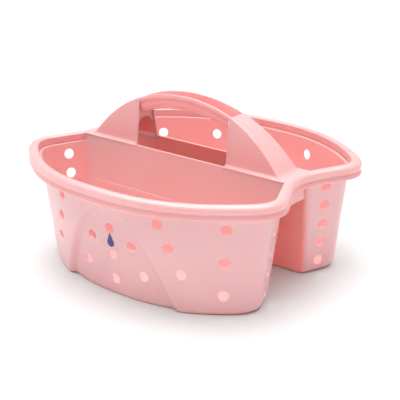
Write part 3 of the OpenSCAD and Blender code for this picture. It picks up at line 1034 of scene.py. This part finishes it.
class Nodes:
    """A material's node tree, with short ways to add and link nodes."""

    def __init__(self, name):
        self.material = bpy.data.materials.new(name)
        self.material.use_nodes = True
        self.tree = self.material.node_tree
        self.shader = self.tree.nodes["Principled BSDF"]

    def add(self, kind, **settings):
        """Adds a node of this kind with these settings."""
        node = self.tree.nodes.new(kind)
        for key, value in settings.items():
            setattr(node, key, value)
        return node

    def link(self, source, target):
        """Feeds a node's output into an input."""
        self.tree.links.new(source, target)

    def ramp(self, source, stops):
        """A colour ramp over source; stops are (place, colour)."""
        node = self.add("ShaderNodeValToRGB")
        node.color_ramp.interpolation = "EASE"
        while len(node.color_ramp.elements) < len(stops):
            node.color_ramp.elements.new(0.5)
        for element, (place, colour) in zip(node.color_ramp.elements, stops):
            element.position = place
            element.color = (*colour, 1.0)
        self.link(source, node.inputs[0])
        return node.outputs[0]


def plastic(name, red_reach, deep, pale):
    """Translucent rose-pink polypropylene, satin, with a faint flow pattern."""
    mat = Nodes(name)
    shader = mat.shader
    where = mat.add("ShaderNodeTexCoord").outputs["Object"]
    flow = mat.add("ShaderNodeTexNoise")
    flow.inputs["Scale"].default_value = 14.0
    flow.inputs["Detail"].default_value = 2.0
    mat.link(where, flow.inputs["Vector"])
    colour = mat.ramp(flow.outputs[0], [(0.3, deep), (0.7, pale)])
    mat.link(colour, shader.inputs["Base Color"])
    shader.inputs["Roughness"].default_value = 0.33
    shader.inputs["IOR"].default_value = 1.49
    shader.inputs["Specular IOR Level"].default_value = 1.0
    shader.inputs["Subsurface Weight"].default_value = 1.0
    shader.inputs["Subsurface Radius"].default_value = (red_reach, OTHER_REACH, OTHER_REACH)
    shader.inputs["Subsurface Scale"].default_value = 1.0
    grain = mat.add("ShaderNodeTexNoise")
    grain.inputs["Scale"].default_value = 900.0
    grain.inputs["Detail"].default_value = 2.0
    mat.link(where, grain.inputs["Vector"])
    bump = mat.add("ShaderNodeBump")
    bump.inputs["Strength"].default_value = 0.04
    bump.inputs["Distance"].default_value = 0.0002
    mat.link(grain.outputs[0], bump.inputs["Height"])
    mat.link(bump.outputs[0], shader.inputs["Normal"])
    return mat.material


def clear_film():
    """Clear gloss film, with faint ripples and a slightly uneven haze."""
    mat = Nodes("clear_film")
    shader = mat.shader
    where = mat.add("ShaderNodeTexCoord").outputs["Object"]
    haze = mat.add("ShaderNodeTexNoise")
    haze.inputs["Scale"].default_value = 90.0
    mat.link(where, haze.inputs["Vector"])
    colour = mat.ramp(haze.outputs[0], [(0.3, FILM_CLEAR), (0.7, FILM_HAZY)])
    mat.link(colour, shader.inputs["Base Color"])
    shader.inputs["Roughness"].default_value = 0.15
    shader.inputs["Alpha"].default_value = 0.12
    bump = mat.add("ShaderNodeBump")
    bump.inputs["Strength"].default_value = 0.05
    bump.inputs["Distance"].default_value = 0.0002
    mat.link(haze.outputs[0], bump.inputs["Height"])
    mat.link(bump.outputs[0], shader.inputs["Normal"])
    return mat.material


def label_ink():
    """Printed blue ink, a little uneven in its cover."""
    mat = Nodes("label_ink")
    shader = mat.shader
    where = mat.add("ShaderNodeTexCoord").outputs["Object"]
    cover = mat.add("ShaderNodeTexNoise")
    cover.inputs["Scale"].default_value = 400.0
    mat.link(where, cover.inputs["Vector"])
    colour = mat.ramp(cover.outputs[0], [(0.3, INK_DEEP), (0.7, INK_PALE)])
    mat.link(colour, shader.inputs["Base Color"])
    shader.inputs["Roughness"].default_value = 0.4
    return mat.material


# --- assembly -----------------------------------------------------------------------------

def place_piece(skin, name, *nodes, material, slot="moulded_plastic"):
    """Makes one piece of the model, which stands for these CAD nodes and rides on the root."""
    obj = skin.build(name)
    obj.data.materials.append(material)
    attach(obj, "root")
    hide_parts(*nodes)
    return obj


def pick_tub_painted_light(obj, side):
    """Picks the tub's faces for its copies of the pink, which carry painted light.

    The gap wall's inner face takes 1, painted red glow; the rest of the inside 2, painted duller
    red;
    and the gap wall's outer face and the base's edge 3, painted deep red glow. The other outside
    faces keep 0, painted duller red. Inside faces are those that face the heart.
    """
    heart = Vector((0.0, side * TUB_HEART_Y, TUB_HEART_Z)) * MM
    for face in obj.data.polygons:
        gap_wall = abs(face.center.y) < GAP_WALL_Y * MM and abs(face.normal.y) > GAP_WALL_FACING
        if face.normal.dot(face.center - heart) < 0:
            face.material_index = 1 if gap_wall else 2
        elif gap_wall or face.center.z < BASE_EDGE_Z * MM:
            face.material_index = 3


def pick_leg_painted_glow(obj):
    """Painted red glow: the second material, a deep red copy of the pink, on the faces of the
    hollow.
    """
    heart = Vector((0.0, 0.0, RIM_Z - LEG_HEART_DROP)) * MM
    for face in obj.data.polygons:
        towards = face.center - heart
        if face.normal.y * towards.y + face.normal.z * towards.z < 0:
            face.material_index = 1


make_camera()
# the plain pink, then copies of it with painted light: painted duller red outside and inside,
# painted red glow on the gap wall and in the hollows
pink, dull_painted_outside, glow_painted_gap, dull_painted_inside, glow_painted_hollow = (
    plastic(name, *look) for name, look in PINKS.items())

tub = build_tub()
rear = place_piece(tub, "rear_tub", "rear_basket", material=dull_painted_outside)
front = place_piece(tub.mirrored(BACK), "front_tub", "front_basket", material=dull_painted_outside)
# the tubs' faces take the copies with painted light by where they sit and face
for obj, side in ((rear, 1), (front, -1)):
    for material in (glow_painted_gap, dull_painted_inside, glow_painted_hollow):
        obj.data.materials.append(material)
    pick_tub_painted_light(obj, side)

place_piece(build_rim(), "rolled_rim", "rim_band", material=pink)

for side, signs in (("right", (1, 1, 1)), ("left", LEFT)):
    leg = build_leg()
    cheek = build_cheek()
    leg.join(cheek)
    leg.join(cheek.mirrored(BACK))
    arch = place_piece(leg.mirrored(signs), side + "_leg", "carry_handle", material=pink)
    bridge = build_deck()
    end = build_gap_end()
    bridge.join(end)
    bridge.join(end.mirrored(BACK))
    deck = place_piece(bridge.mirrored(signs), side + "_bridge", "carry_handle", material=pink)
    # the faces of the leg's hollow take the painted red glow
    for obj in (arch, deck):
        obj.data.materials.append(glow_painted_hollow)
        pick_leg_painted_glow(obj)
    # the bulkhead that closes the leg is wholly painted red glow
    place_piece(build_leg_web().mirrored(signs), side + "_bulkhead", side + "_leg_web",
                material=glow_painted_hollow)
    place_piece(build_end_web().mirrored(signs), side + "_apron", side + "_end_web",
                material=pink)
place_piece(build_grip(), "grip_channel", "grip_trough", material=pink)

place_piece(build_film(), "label_film_piece", "label_film", material=clear_film(),
            slot="clear_film")
place_piece(build_print(), "label_print", "label_mark", material=label_ink(),
            slot="label_ink")

make_stage()
add_sun()
bpy.context.scene.view_settings.view_transform = "Standard"
